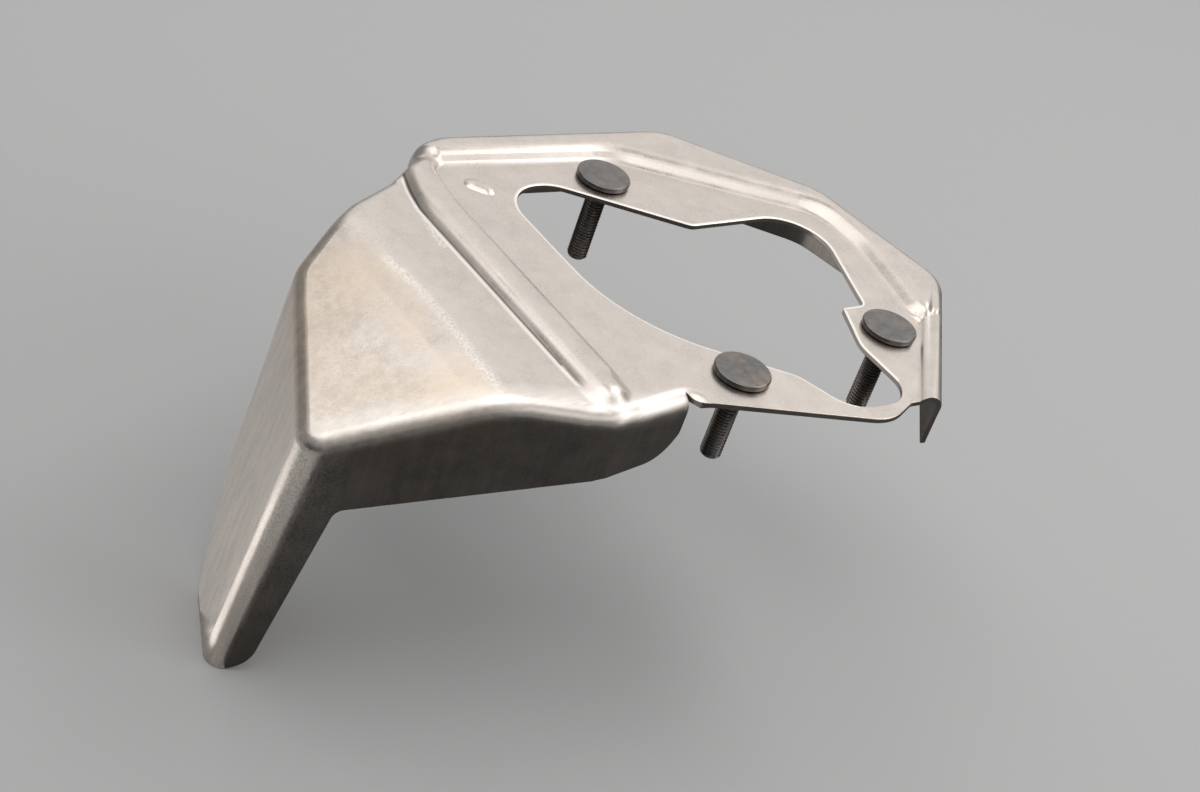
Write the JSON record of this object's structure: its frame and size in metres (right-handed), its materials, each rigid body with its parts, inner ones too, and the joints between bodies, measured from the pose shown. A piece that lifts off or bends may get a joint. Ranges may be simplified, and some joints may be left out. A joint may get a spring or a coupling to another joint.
{
  "type": "exhaust heat shield",
  "caption": "Stamped steel exhaust heat shield with a folded wing and leg, a raised rim, a large open window and flat-headed weld studs for fixing.",
  "frame": {"origin": "on the axis of the front stud, at the face of the flange that meets the engine", "axes": "+Z along the studs towards their heads, +Y from the front stud towards the rear along the rib, +X towards the right stud"},
  "size_m": [0.2159, 0.1412, 0.0995],
  "materials": {
    "stainless_sheet": "satin stainless, lightly brushed and rubbed",
    "dark_steel": "heat-darkened plain steel"
  },
  "bodies": {
    "root": {"heat_shield": "stainless_sheet", "weld_studs": "dark_steel"}
  },
  "joints": []
}
